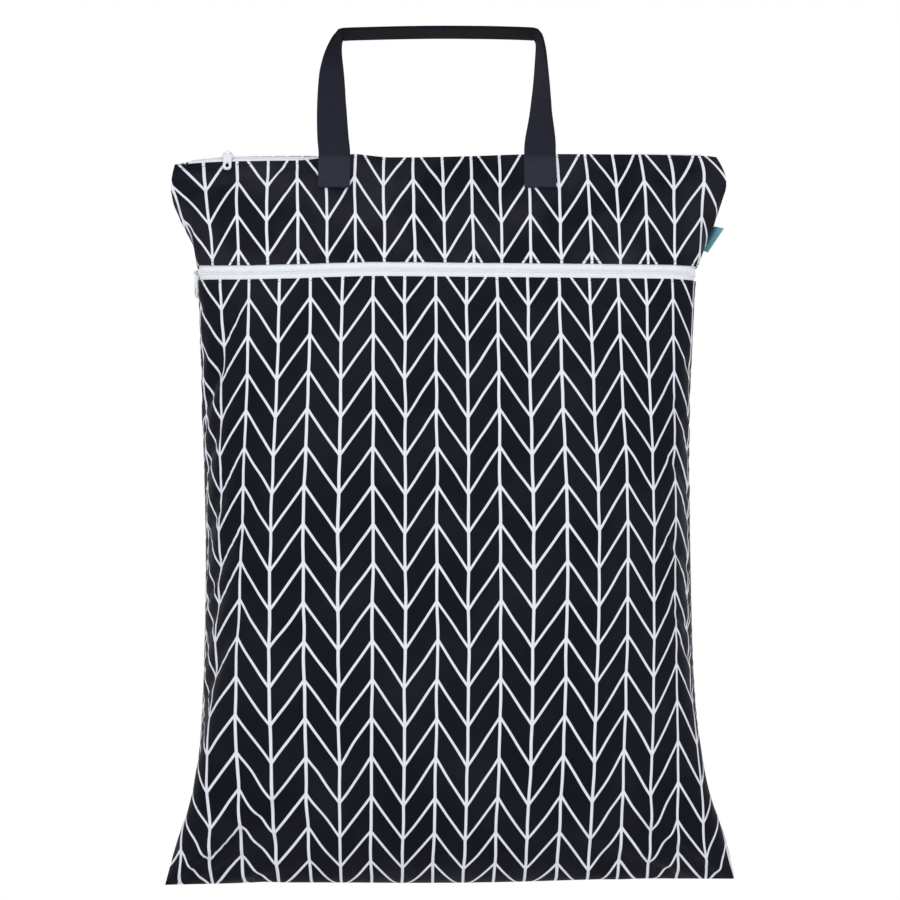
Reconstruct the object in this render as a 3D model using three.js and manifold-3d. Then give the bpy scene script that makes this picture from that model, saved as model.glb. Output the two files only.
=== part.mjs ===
// A large hanging wet bag of thin printed cloth, filled like a pillow: two cloth faces that meet
// in the side and bottom seams, a zip along the top edge, a zip across the front over a full-width
// pocket, a webbing handle sewn on the front, and a small folded tag in the right seam.
// Millimetres, +Z up, the front faces -Y. The origin is the middle of the handle's underside,
// where a hook or a hand carries the bag.

import * as THREE from 'three';
import { mergeVertices } from 'three/addons/utils/BufferGeometryUtils.js';
import Module from 'manifold-3d';

const wasm = await Module();
wasm.setup();

// The bag
const SEAM_WIDTH = 450; // along the bottom seam, from corner to corner
const BODY_HEIGHT = 567; // from the top edge to the bottom seam, filled
const FRONT_DEPTH = 72; // the most that the front swells out from the side seams
const BACK_DEPTH = 66; // the same for the back
const TOP_DEPTH = 6.5; // each half of the closed top edge, where the zip lies
const TOP_DROP = 94; // from the origin down to the top edge
const BAG_SHIFT = 9.5; // the bag's middle lies this far to the right of the handle's
const CLOTH = 1.2; // one wall: the printed cloth and its waterproof backing
const GAP = 0.3; // clear between two pieces that touch

// The zips
const ZIP_OPENING = 11.4; // the white band that shows between the cloth edges on the front
const TAPE_LAP = 5; // the zip tape runs this far behind each cloth edge
const TAPE = 0.8; // its thickness
const TAPE_CROWN = 0.5; // the top tape rises by this in its middle
const COIL_WIDTH = 4;
const COIL_HEIGHT = 1;
const SLIDER_LENGTH = 10;
const SLIDER_WIDTH = 7.4;
const SLIDER_PLATE = 1.2; // thickness of its plate
const BRIDGE_BAR = 1.2; // thickness of the bar that the pull hangs on
const BRIDGE_SPAN = 4.4; // clear length of that bar
const PULL_LENGTH = 20; // from the bar's centre to the end
const PULL_WIDTH = 6.5;
const PULL_THICKNESS = 1.2;
const PULL_HOLE_WIDTH = 2.6;
const PULL_HOLE_LENGTH = 6;
const KNUCKLE_WALL = 0.8; // the eye of the pull round the bar
const KNUCKLE_CLEARANCE = 0.3;
const TOP_PULL_DROOP = 18; // degrees that the top zip's pull leans down towards the cloth

// The handle
const STRAP_WIDTH = 25;
const STRAP_THICKNESS = 2;
const HANDLE_REACH = 82; // from its middle to the middle of each leg
const PATCH_LENGTH = 24.5; // the sewn end, down from the top edge
const TOP_CLEARANCE = 4; // the strap stays in front until it is this far above the top edge
const BAR_TILT = 19; // degrees that the front edge of the grip stands above the rear edge
const BAR_BOW = 1.5; // the grip's middle rises by this
const CORNER_RADIUS = 8; // of the bend from leg to grip

// The tag
const TAG_HEIGHT = 19; // along the seam
const TAG_REACH = 8; // out of the seam
const TAG_THICKNESS = 1.2; // two layers of ribbon
const TAG_EASE = 0.5; // more than GAP at the tag's root, for the seam's straight facets

// Half widths down the bag, as shares of half the bottom seam
const SIDES = [
  { down: 0.0, left: 0.966, right: 0.935 },
  { down: 0.032, left: 0.981, right: 0.974 },
  { down: 0.07, left: 0.964, right: 0.947 },
  { down: 0.115, left: 0.9, right: 0.905 },
  { down: 0.15, left: 0.878, right: 0.86 },
  { down: 0.21, left: 0.876, right: 0.85 },
  { down: 0.36, left: 0.868, right: 0.838 },
  { down: 0.56, left: 0.857, right: 0.844 },
  { down: 0.7, left: 0.863, right: 0.853 },
  { down: 0.8, left: 0.875, right: 0.87 },
  { down: 0.88, left: 0.9, right: 0.905 },
  { down: 0.94, left: 0.955, right: 0.963 },
  { down: 1.0, left: 1.0, right: 1.0 },
];

// How far each face swells down the bag, as shares of its depth, without the top edge's own depth
const SWELL = [
  { down: 0.0, share: 0.0 },
  { down: 0.04, share: 0.12 },
  { down: 0.1, share: 0.33 },
  { down: 0.16, share: 0.5 },
  { down: 0.26, share: 0.72 },
  { down: 0.4, share: 0.92 },
  { down: 0.55, share: 1.0 },
  { down: 0.7, share: 0.98 },
  { down: 0.8, share: 0.89 },
  { down: 0.88, share: 0.73 },
  { down: 0.94, share: 0.53 },
  { down: 0.975, share: 0.35 },
  { down: 0.992, share: 0.19 },
  { down: 1.0, share: 0.0 },
];

// The top and bottom edges across the bag: across goes from -1 at the left seam to 1 at the right,
// front and back are how far each face's edge rises there, as shares of the body's height
const TOP_EDGE = [
  { across: -1, front: -0.0115, back: -0.009 },
  { across: -0.8, front: -0.006, back: 0.003 },
  { across: -0.5, front: -0.004, back: 0.004 },
  { across: -0.34, front: 0.0045, back: 0.004 },
  { across: -0.2, front: -0.0005, back: 0.0 },
  { across: 0.1, front: 0.0015, back: 0.0005 },
  { across: 0.35, front: 0.0045, back: 0.002 },
  { across: 1, front: 0.002, back: 0.001 },
];
const BOTTOM_EDGE = [
  { across: -1, rise: -0.0125 },
  { across: -0.7, rise: -0.0095 },
  { across: -0.5, rise: -0.004 },
  { across: -0.2, rise: -0.0005 },
  { across: 0.2, rise: 0.001 },
  { across: 0.5, rise: 0.001 },
  { across: 0.65, rise: -0.0035 },
  { across: 1, rise: -0.004 },
];

// The line of the front zip across the bag, as shares of the body's height
const ZIP_LINE = [
  { across: -1, down: 0.1585 },
  { across: -0.5, down: 0.1545 },
  { across: 0, down: 0.1555 },
  { across: 0.8, down: 0.1585 },
  { across: 1, down: 0.1635 },
];

// Gathers that start at a side seam and fade inward, on both faces: down is where they leave the
// seam, reach a share of the width, fall a share of the height at their end, depth and width
// shares of the front's depth
const GATHERS = [
  { side: -1, down: 0.215, reach: 0.24, fall: 0.05, depth: 0.05, width: 0.13 },
  { side: -1, down: 0.4, reach: 0.16, fall: 0.03, depth: 0.035, width: 0.15 },
  { side: -1, down: 0.58, reach: 0.18, fall: -0.01, depth: 0.035, width: 0.17 },
  { side: -1, down: 0.745, reach: 0.2, fall: -0.03, depth: 0.045, width: 0.16 },
  { side: -1, down: 0.86, reach: 0.26, fall: -0.1, depth: 0.06, width: 0.17 },
  { side: 1, down: 0.2, reach: 0.2, fall: 0.07, depth: 0.055, width: 0.14 },
  { side: 1, down: 0.33, reach: 0.18, fall: 0.03, depth: 0.04, width: 0.15 },
  { side: 1, down: 0.52, reach: 0.16, fall: -0.02, depth: 0.035, width: 0.16 },
  { side: 1, down: 0.71, reach: 0.2, fall: -0.03, depth: 0.045, width: 0.16 },
  { side: 1, down: 0.86, reach: 0.28, fall: -0.11, depth: 0.06, width: 0.17 },
];

// Flutes that rise from the bottom seam: across is their place, depth and width as above
const FLUTES = [
  { across: -0.72, depth: 0.05, width: 0.26 },
  { across: -0.38, depth: 0.035, width: 0.24 },
  { across: -0.02, depth: 0.03, width: 0.24 },
  { across: 0.34, depth: 0.035, width: 0.24 },
  { across: 0.7, depth: 0.05, width: 0.26 },
];

// The handle's legs, from the top edge up: up is a share of the height of the legs, left and
// right are shares of HANDLE_REACH, and the turns are how far the webbing of each leg has turned
// edge-on, in degrees
const LEGS = [
  { up: 0.0, left: 0.995, right: 0.98, leftTurn: 0, rightTurn: 0 },
  { up: 0.14, left: 1.01, right: 0.982, leftTurn: 9, rightTurn: 20 },
  { up: 0.34, left: 1.02, right: 0.988, leftTurn: 20, rightTurn: 43 },
  { up: 0.6, left: 1.022, right: 0.994, leftTurn: 34, rightTurn: 59 },
  { up: 0.86, left: 0.995, right: 0.985, leftTurn: 66, rightTurn: 75 },
];

const BLACK_CLOTH = { color: 0x11131a, roughness: 0.75, metalness: 0 };
const BLACK_WEBBING = { color: 0x14161d, roughness: 0.9, metalness: 0 };
const WHITE_TAPE = { color: 0xe9edf2, roughness: 0.85, metalness: 0 };
const WHITE_PLASTIC = { color: 0xeef1f4, roughness: 0.4, metalness: 0 };
const TEAL_RIBBON = { color: 0x2f8f9d, roughness: 0.7, metalness: 0 };

const bag = new THREE.Group();
const radians = THREE.MathUtils.degToRad;

// One column of a table, read smoothly between its rows without overshoot
function read(table, key, column, at) {
  const last = table.length - 1;
  const x = THREE.MathUtils.clamp(at, table[0][key], table[last][key]);
  let i = 0;
  while (i < last - 1 && table[i + 1][key] <= x) i += 1;
  const secant = (k) => {
    const j = THREE.MathUtils.clamp(k, 0, last - 1);
    return (table[j + 1][column] - table[j][column]) / (table[j + 1][key] - table[j][key]);
  };
  const slope = (k) => {
    const [before, after] = [secant(k - 1), secant(k)];
    return before * after <= 0 ? 0 : (2 * before * after) / (before + after);
  };
  const span = table[i + 1][key] - table[i][key];
  const t = (x - table[i][key]) / span;
  const [from, to] = [table[i][column], table[i + 1][column]];
  return (
    from * (1 + 2 * t) * (1 - t) ** 2 +
    to * t * t * (3 - 2 * t) +
    span * (slope(i) * t * (1 - t) ** 2 - slope(i + 1) * t * t * (1 - t))
  );
}

// Adds one closed mesh to the bag under its own name
function add(name, geometry, finish) {
  const mesh = new THREE.Mesh(geometry, new THREE.MeshStandardMaterial(finish));
  mesh.name = name;
  bag.add(mesh);
  return mesh;
}

// The gathers' depth at a place of the cloth: down the side seams, then up from the bottom seam
function crease(across, down) {
  let depth = 0;
  for (const g of GATHERS) {
    const inward = (1 - g.side * across) / 2;
    if (inward > g.reach) continue;
    const line = g.down + (g.fall * inward) / g.reach;
    const off = ((down - line) * BODY_HEIGHT) / (g.width * FRONT_DEPTH);
    const fade = Math.sin(Math.PI * Math.sqrt(inward / g.reach));
    depth += g.depth * FRONT_DEPTH * fade * Math.exp(-off * off);
  }
  for (const f of FLUTES) {
    const off = ((across - f.across) * SEAM_WIDTH) / 2 / (f.width * FRONT_DEPTH);
    const rise = (1 - down) * BODY_HEIGHT / FRONT_DEPTH;
    depth += f.depth * FRONT_DEPTH * Math.sin(Math.PI * Math.min(rise, 1)) * Math.exp(-off * off);
  }
  return depth;
}

// A point of the outer face of the cloth. turn goes from -1 at the left seam to 1 at the right and
// is finest at the seams; down goes from 0 at the top edge to 1 at the bottom seam; face is -1 in
// front and 1 behind.
function skin(turn, down, face) {
  const across = Math.sin((turn * Math.PI) / 2);
  const left = -read(SIDES, 'down', 'left', down);
  const right = read(SIDES, 'down', 'right', down);
  const x = BAG_SHIFT + (SEAM_WIDTH / 2) * ((left + right) / 2 + (across * (right - left)) / 2);
  const squareness = 2.5 + 3.5 * (1 - down) ** 12;
  const section = Math.sqrt(Math.max(1 - Math.abs(across) ** squareness, 0));
  const swell = (face < 0 ? FRONT_DEPTH : BACK_DEPTH) * read(SWELL, 'down', 'share', down);
  const depth = (swell + TOP_DEPTH * (1 - down) ** 2) * section * (1 - down ** 60);
  const rise =
    read(TOP_EDGE, 'across', face < 0 ? 'front' : 'back', across) * (1 - down) ** 10 +
    read(BOTTOM_EDGE, 'across', 'rise', across) * down ** 8;
  return new THREE.Vector3(
    x,
    face * (GAP / 2 + CLOTH + Math.max(depth - crease(across, down) * section, 0)),
    -TOP_DROP + BODY_HEIGHT * (rise - down),
  );
}

// The outward direction of the cloth at the same place
function outward(turn, down, face) {
  const step = 0.002;
  const [t0, t1] = [Math.max(turn - step, -1), Math.min(turn + step, 1)];
  const [d0, d1] = [Math.max(down - step, 0), Math.min(down + step, 1)];
  const alongWidth = skin(t1, down, face).sub(skin(t0, down, face));
  const alongHeight = skin(turn, d1, face).sub(skin(turn, d0, face));
  return alongWidth.cross(alongHeight).multiplyScalar(face).normalize();
}

// A closed solid from two grids of points with the same rows and columns, one behind the other
function solidBetween(outer, inner) {
  const [rows, columns] = [outer.length, outer[0].length];
  const points = [...outer.flat(), ...inner.flat()];
  const behind = rows * columns;
  const faces = [];
  const quad = (a, b, c, d) => faces.push(a, b, c, a, c, d);
  const at = (r, c) => r * columns + c;
  for (let r = 0; r < rows - 1; r += 1) {
    for (let c = 0; c < columns - 1; c += 1) {
      const corners = [at(r, c), at(r + 1, c), at(r + 1, c + 1), at(r, c + 1)];
      quad(...corners);
      quad(...corners.reverse().map((k) => k + behind));
    }
  }
  const rim = (a, b) => quad(b, a, a + behind, b + behind);
  for (let c = 0; c < columns - 1; c += 1) {
    rim(at(0, c + 1), at(0, c));
    rim(at(rows - 1, c), at(rows - 1, c + 1));
  }
  for (let r = 0; r < rows - 1; r += 1) {
    rim(at(r, 0), at(r + 1, 0));
    rim(at(r + 1, columns - 1), at(r, columns - 1));
  }
  const geometry = new THREE.BufferGeometry();
  geometry.setAttribute(
    'position',
    new THREE.Float32BufferAttribute(points.flatMap((p) => p.toArray()), 3),
  );
  geometry.setIndex(signedVolume(points, faces) < 0 ? faces.reverse() : faces);
  return geometry;
}

// Six times the volume that a list of triangles encloses, negative when they face inwards
function signedVolume(points, faces) {
  let sum = 0;
  for (let i = 0; i < faces.length; i += 3) {
    const [a, b, c] = [points[faces[i]], points[faces[i + 1]], points[faces[i + 2]]];
    sum += a.dot(new THREE.Vector3().crossVectors(b, c));
  }
  return sum;
}

// Evenly spread numbers from one value to another
function spread(from, to, count) {
  return Array.from({ length: count + 1 }, (_, i) => from + ((to - from) * i) / count);
}

// Columns across the bag. All the pieces on the front share them, so that their facets lie parallel.
const COLUMNS = 28;
const turns = spread(-1, 1, COLUMNS);

// A wall of cloth on one face of the bag between two lines across it. Its rims on the side seams,
// and on the bottom seam where it reaches that, end in the plane between the two faces. Its rows
// are finer near the two lines than half-way.
function clothPanel(face, upper, lower, rows) {
  const outer = [];
  const inner = [];
  for (const share of spread(0, 1, rows)) {
    const outerRow = [];
    const innerRow = [];
    const eased = 0.45 * share + (0.55 * (1 - Math.cos(Math.PI * share))) / 2;
    for (const turn of turns) {
      const across = Math.sin((turn * Math.PI) / 2);
      const down = upper(across) + (lower(across) - upper(across)) * eased;
      const point = skin(turn, down, face);
      const behind = point.clone().addScaledVector(outward(turn, down, face), -CLOTH);
      if (Math.abs(turn) === 1 || down === 1) behind.copy(point);
      behind.y = face * Math.max(face * behind.y, GAP / 2);
      if (Math.abs(turn) === 1 || down === 1) behind.y = (face * GAP) / 2;
      outerRow.push(point);
      innerRow.push(behind);
    }
    outer.push(outerRow);
    inner.push(innerRow);
  }
  return solidBetween(outer, inner);
}

// A strip that follows the front zip's line: half is half its width, near and far its faces'
// distances behind the cloth's outer face
function zipStrip(half, near, far) {
  const outer = [];
  const inner = [];
  for (const offset of [-half, -half / 3, half / 3, half]) {
    const outerRow = [];
    const innerRow = [];
    for (const turn of turns.slice(ZIP_END_COLUMNS, -ZIP_END_COLUMNS)) {
      const down = zipDown(Math.sin((turn * Math.PI) / 2)) + offset / BODY_HEIGHT;
      const direction = outward(turn, down, -1);
      const point = skin(turn, down, -1);
      outerRow.push(point.clone().addScaledVector(direction, -near));
      innerRow.push(point.clone().addScaledVector(direction, -far));
    }
    outer.push(outerRow);
    inner.push(innerRow);
  }
  return solidBetween(outer, inner);
}

function zipDown(across) {
  return read(ZIP_LINE, 'across', 'down', across);
}

const ZIP_END_COLUMNS = 1; // the front zip ends this many columns short of the side seams
const TOP_END_COLUMNS = 2; // and the top zip this many
const halfOpening = ZIP_OPENING / 2 / BODY_HEIGHT;

// A place on the top zip's tape, which lies across the closed mouth between the two cloth edges
// with a slight crown. share goes from -1 at the front edge to 1 at the back edge.
function mouthPlace(turn, share) {
  const front = skin(turn, 0, -1).addScaledVector(outward(turn, 0, -1), -CLOTH - GAP);
  const back = skin(turn, 0, 1).addScaledVector(outward(turn, 0, 1), -CLOTH - GAP);
  const place = front.lerp(back, (1 + share) / 2);
  place.z += TAPE_CROWN * (1 - share * share);
  return place;
}

// Half the width of the mouth there
function mouthHalf(turn) {
  return (mouthPlace(turn, 1).y - mouthPlace(turn, -1).y) / 2;
}

// A strip of the top zip: lift is its underside's height over the tape's upper face, half its half
// width, which the mouth limits
function topStrip(lift, thickness, half) {
  const outer = [];
  const inner = [];
  for (const share of spread(-1, 1, 4)) {
    const outerRow = [];
    const innerRow = [];
    for (const turn of turns.slice(TOP_END_COLUMNS, -TOP_END_COLUMNS)) {
      const place = mouthPlace(turn, share * Math.min(half / mouthHalf(turn), 1));
      outerRow.push(place.clone().setZ(place.z + lift + thickness));
      innerRow.push(place.clone().setZ(place.z + lift));
    }
    outer.push(outerRow);
    inner.push(innerRow);
  }
  return solidBetween(outer, inner);
}

// Makes a manifold of a closed three.js geometry
function manifoldOf(geometry) {
  const plain = geometry.index ? geometry.clone() : geometry;
  plain.deleteAttribute('normal');
  plain.deleteAttribute('uv');
  const merged = mergeVertices(plain, 1e-4);
  return new wasm.Manifold(
    new wasm.Mesh({
      numProp: 3,
      vertProperties: new Float32Array(merged.attributes.position.array),
      triVerts: new Uint32Array(merged.index.array),
    }),
  );
}

// And a three.js geometry of a manifold
function geometryOf(manifold) {
  const mesh = manifold.getMesh();
  const geometry = new THREE.BufferGeometry();
  geometry.setAttribute('position', new THREE.BufferAttribute(mesh.vertProperties, 3));
  geometry.setIndex(new THREE.BufferAttribute(mesh.triVerts, 1));
  return geometry;
}

// Flat pieces are outlines drawn in X and Z and given their thickness along Y, about y = 0
function plate(outline, thickness) {
  const geometry = new THREE.ExtrudeGeometry(outline, {
    depth: thickness,
    bevelEnabled: false,
    curveSegments: 6,
  });
  return geometry.translate(0, 0, -thickness / 2).rotateX(Math.PI / 2);
}

function box(x, y, z, sizeX, sizeY, sizeZ) {
  return new THREE.BoxGeometry(sizeX, sizeY, sizeZ).translate(x, y, z);
}

// A slot outline with round ends, upright, from z0 up to z1
function slot(width, z0, z1) {
  const path = new THREE.Shape();
  const r = width / 2;
  path.absarc(0, z1 - r, r, 0, Math.PI, false);
  path.absarc(0, z0 + r, r, Math.PI, 2 * Math.PI, false);
  path.closePath();
  return path;
}

// Heights over the coil, along a slider's outward direction
const plateTop = GAP + SLIDER_PLATE;
const knuckleRadius = BRIDGE_BAR / Math.SQRT2 + KNUCKLE_CLEARANCE + KNUCKLE_WALL;
const barHeight = plateTop + GAP + knuckleRadius;

// A slider lies on its coil with its outward direction along -Y and the zip along X. The plate has
// a blunt nose and tapers to the tail; a bar on two posts carries the pull.
function slider() {
  const nose = SLIDER_WIDTH / 2;
  const tail = nose * 0.6;
  const half = SLIDER_LENGTH / 2;
  const outline = new THREE.Shape([
    new THREE.Vector2(-half, -tail),
    new THREE.Vector2(half * 0.4, -nose),
    new THREE.Vector2(half * 0.8, -nose * 0.9),
    new THREE.Vector2(half, -nose * 0.4),
    new THREE.Vector2(half, nose * 0.4),
    new THREE.Vector2(half * 0.8, nose * 0.9),
    new THREE.Vector2(half * 0.4, nose),
    new THREE.Vector2(-half, tail),
  ]);
  const body = manifoldOf(plate(outline, SLIDER_PLATE).translate(0, -GAP - SLIDER_PLATE / 2, 0));
  const post = (SLIDER_LENGTH - BRIDGE_SPAN) / 4;
  const reach = barHeight + BRIDGE_BAR / 2;
  const postMiddle = -(plateTop + reach) / 2 + SLIDER_PLATE / 4;
  const postHeight = reach - plateTop + SLIDER_PLATE / 2;
  const bar = box(0, -barHeight, 0, BRIDGE_SPAN + post, BRIDGE_BAR, BRIDGE_BAR);
  let whole = body.add(manifoldOf(bar));
  for (const side of [-1, 1]) {
    const x = (side * (BRIDGE_SPAN + post)) / 2;
    whole = whole.add(manifoldOf(box(x, postMiddle, 0, post, postHeight, BRIDGE_BAR)));
  }
  return geometryOf(whole);
}

// A pull hangs down along -Z from its knuckle, whose bore is the origin and runs along X
function pull() {
  const knuckle = new THREE.Shape();
  knuckle.absarc(0, 0, knuckleRadius, 0, 2 * Math.PI, false);
  const bore = new THREE.Path();
  bore.absarc(0, 0, knuckleRadius - KNUCKLE_WALL, 0, 2 * Math.PI, true);
  knuckle.holes.push(bore);
  const length = BRIDGE_SPAN - 2 * KNUCKLE_CLEARANCE;
  const eye = new THREE.ExtrudeGeometry(knuckle, {
    depth: length,
    bevelEnabled: false,
    curveSegments: 6,
  });
  eye.translate(0, 0, -length / 2).rotateY(Math.PI / 2);
  const top = -knuckleRadius + KNUCKLE_WALL / 2;
  const tab = slot(PULL_WIDTH, -PULL_LENGTH, top);
  const holeEnd = -PULL_LENGTH + (PULL_WIDTH - PULL_HOLE_WIDTH) / 2;
  tab.holes.push(slot(PULL_HOLE_WIDTH, holeEnd, holeEnd + PULL_HOLE_LENGTH));
  return geometryOf(manifoldOf(eye).add(manifoldOf(plate(tab, PULL_THICKNESS))));
}

// Puts a piece made about the origin on a place, with its -Y turned to outwardTo and X kept level
function seat(mesh, place, outwardTo, droop = 0) {
  const back = outwardTo.clone().negate().normalize();
  const side = new THREE.Vector3().crossVectors(back, new THREE.Vector3(0, 0, 1)).normalize();
  const up = new THREE.Vector3().crossVectors(side, back);
  mesh.quaternion.setFromRotationMatrix(new THREE.Matrix4().makeBasis(side, back, up));
  mesh.rotateX(droop);
  mesh.position.copy(place);
}

// The handle is one length of webbing: up from the left patch, over the grip, down to the right
function handleStations() {
  const stations = [];
  const legTop = barRise() - CORNER_RADIUS;
  const topEdge = -TOP_DROP;
  for (const side of [-1, 1]) {
    const column = side < 0 ? 'left' : 'right';
    const endTurn = LEGS[LEGS.length - 1][column + 'Turn'];
    const leg = [];
    const patchX = side * HANDLE_REACH * LEGS[0][column];
    for (const share of spread(0, 1, 5)) {
      const z = topEdge + TOP_CLEARANCE - (PATCH_LENGTH + TOP_CLEARANCE) * (1 - share);
      leg.push({ place: new THREE.Vector3(patchX, frontOf(patchX, z), z), turn: 0 });
    }
    const patchY = leg[leg.length - 1].place.y;
    for (const share of spread(0.1, 1, 11)) {
      const up = share * LEGS[LEGS.length - 1].up;
      const x = side * HANDLE_REACH * read(LEGS, 'up', column, up);
      const place = new THREE.Vector3(x, patchY * (1 - share), topEdge + share * (legTop - topEdge));
      leg.push({ place, turn: radians(read(LEGS, 'up', column + 'Turn', up)) });
    }
    const foot = leg[leg.length - 1].place;
    for (const share of spread(0.2, 1, 4)) {
      const angle = (share * Math.PI) / 2;
      const x = foot.x - side * CORNER_RADIUS * (1 - Math.cos(angle));
      const z = foot.z + CORNER_RADIUS * Math.sin(angle);
      const turn = radians(endTurn + (90 - endTurn) * Math.min(1, share * 1.5));
      leg.push({ place: new THREE.Vector3(x, 0, z), turn, share });
    }
    for (const station of leg) {
      const across = new THREE.Vector3(-side * Math.cos(station.turn), Math.sin(station.turn), 0);
      station.across = across.setZ(-Math.tan(radians(BAR_TILT)) * Math.max(0, across.y) ** 6);
    }
    stations.push(side < 0 ? leg : leg.reverse());
  }
  const [left, right] = stations;
  const [from, to] = [left[left.length - 1], right[0]];
  const grip = spread(0, 1, 9).slice(1, -1).map((share) => {
    const place = from.place.clone().lerp(to.place, share);
    place.z += BAR_BOW * Math.sin(Math.PI * share);
    return { place, across: from.across.clone() };
  });
  return [...left, ...grip, ...right];
}

// Height of the webbing's centre line at the ends of the grip
function barRise() {
  const half = (STRAP_WIDTH / 2) * Math.sin(radians(BAR_TILT));
  return half + (STRAP_THICKNESS / 2) * Math.cos(radians(BAR_TILT)) - BAR_BOW;
}

// Where the strap's centre line lies in front of the cloth at a place of the upper panel
function frontOf(x, z) {
  let front = 0;
  for (const side of [-1, -0.5, 0, 0.5, 1]) {
    const share = (x + (side * STRAP_WIDTH) / 2 - BAG_SHIFT) / (SEAM_WIDTH / 2);
    const level = Math.max((-TOP_DROP - z) / BODY_HEIGHT, 0);
    const left = -read(SIDES, 'down', 'left', level);
    const right = read(SIDES, 'down', 'right', level);
    const across = (2 * share - left - right) / (right - left);
    const rise = read(TOP_EDGE, 'across', 'front', across) * (1 - level) ** 10;
    const down = Math.max(level + rise, 0);
    front = Math.min(front, skin((Math.asin(across) * 2) / Math.PI, down, -1).y);
  }
  return front - GAP - STRAP_THICKNESS / 2;
}

// Sweeps the webbing's flat section with thin edges along its stations
function webbing(stations) {
  const edge = 0.35 * STRAP_THICKNESS;
  const half = { width: STRAP_WIDTH / 2, thickness: STRAP_THICKNESS / 2 };
  const section = [
    [-half.width, -half.thickness + edge],
    [-half.width + edge, -half.thickness],
    [half.width - edge, -half.thickness],
    [half.width, -half.thickness + edge],
    [half.width, half.thickness - edge],
    [half.width - edge, half.thickness],
    [-half.width + edge, half.thickness],
    [-half.width, half.thickness - edge],
  ];
  const points = [];
  stations.forEach((station, i) => {
    const before = stations[Math.max(i - 1, 0)].place;
    const after = stations[Math.min(i + 1, stations.length - 1)].place;
    const along = after.clone().sub(before).normalize();
    const across = station.across.clone();
    across.addScaledVector(along, -across.dot(along)).normalize();
    const normal = new THREE.Vector3().crossVectors(along, across);
    for (const [w, t] of section) {
      points.push(station.place.clone().addScaledVector(across, w).addScaledVector(normal, t));
    }
  });
  const sides = section.length;
  const faces = [];
  for (let i = 0; i < stations.length - 1; i += 1) {
    for (let k = 0; k < sides; k += 1) {
      const [a, b] = [i * sides + k, i * sides + ((k + 1) % sides)];
      faces.push(a, b, b + sides, a, b + sides, a + sides);
    }
  }
  const last = (stations.length - 1) * sides;
  for (let k = 1; k < sides - 1; k += 1) {
    faces.push(0, k + 1, k, last, last + k, last + k + 1);
  }
  const geometry = new THREE.BufferGeometry();
  geometry.setAttribute(
    'position',
    new THREE.Float32BufferAttribute(points.flatMap((p) => p.toArray()), 3),
  );
  geometry.setIndex(signedVolume(points, faces) < 0 ? faces.reverse() : faces);
  return geometry;
}

// The tag leaves the right seam a little below the top corner, longest at its upper end
const TAG_DOWN = 0.096; // share of the body's height where its upper end leaves the seam
function tag() {
  const rows = [];
  const backRows = [];
  for (const share of spread(0, 1, 3)) {
    const down = TAG_DOWN + (share * TAG_HEIGHT) / BODY_HEIGHT;
    const seam = skin(1, down, -1);
    const row = [];
    const backRow = [];
    for (const reach of spread(0, 1, 2)) {
      const x = seam.x + GAP + TAG_EASE + reach * TAG_REACH * (1 - 0.5 * share);
      const z = seam.z - reach * TAG_REACH * 0.2;
      row.push(new THREE.Vector3(x, -TAG_THICKNESS / 2, z));
      backRow.push(new THREE.Vector3(x, TAG_THICKNESS / 2, z));
    }
    rows.push(row);
    backRows.push(backRow);
  }
  return solidBetween(rows, backRows);
}

// The cloth
const topLine = () => 0;
const bottomLine = () => 1;
const openingTop = (across) => zipDown(across) - halfOpening;
const openingBottom = (across) => zipDown(across) + halfOpening;
add('back_panel', clothPanel(1, topLine, bottomLine, 28), BLACK_CLOTH);
add('upper_panel', clothPanel(-1, topLine, openingTop, 6), BLACK_CLOTH);
add('pocket_panel', clothPanel(-1, openingBottom, bottomLine, 28), BLACK_CLOTH);

// The zip across the front, its slider at the left end and its pull hanging
const tapeFront = CLOTH + GAP;
add(
  'pocket_zip_tape',
  zipStrip(ZIP_OPENING / 2 + TAPE_LAP, tapeFront, tapeFront + TAPE),
  WHITE_TAPE,
);
add(
  'pocket_zip_coil',
  zipStrip(COIL_WIDTH / 2, tapeFront - GAP - COIL_HEIGHT, tapeFront - GAP),
  WHITE_TAPE,
);
const sliderTurn = -0.93;
const sliderDown = zipDown(Math.sin((sliderTurn * Math.PI) / 2));
const sideways = outward(sliderTurn, sliderDown, -1).setZ(0).normalize();
const pocketSeat = skin(sliderTurn, sliderDown, -1).addScaledVector(sideways, GAP);
seat(add('pocket_zip_slider', slider(), WHITE_PLASTIC), pocketSeat, sideways);
const pocketBar = pocketSeat.clone().addScaledVector(sideways, barHeight);
seat(add('pocket_zip_pull', pull(), WHITE_PLASTIC), pocketBar, sideways);

// The zip along the top edge, its slider near the left corner and its pull over the front edge
add('top_zip_tape', topStrip(-TAPE, TAPE, Infinity), WHITE_TAPE);
add('top_zip_coil', topStrip(GAP, COIL_HEIGHT, COIL_WIDTH / 2), WHITE_TAPE);
const topSliderTurn = -0.595;
const mouthSpan = mouthPlace(topSliderTurn, 1).sub(mouthPlace(topSliderTurn, -1));
const upwards = new THREE.Vector3(0, -mouthSpan.z, mouthSpan.y).normalize();
const topSeat = mouthPlace(topSliderTurn, 0);
topSeat.addScaledVector(upwards, GAP + COIL_HEIGHT);
seat(add('top_zip_slider', slider(), WHITE_PLASTIC), topSeat, upwards);
const topBar = topSeat.clone().addScaledVector(upwards, barHeight);
seat(add('top_zip_pull', pull(), WHITE_PLASTIC), topBar, upwards, radians(TOP_PULL_DROOP));

// The handle and the tag
add('handle_strap', webbing(handleStations()), BLACK_WEBBING);
add('side_tag', tag(), TEAL_RIBBON);

export default bag;
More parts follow.
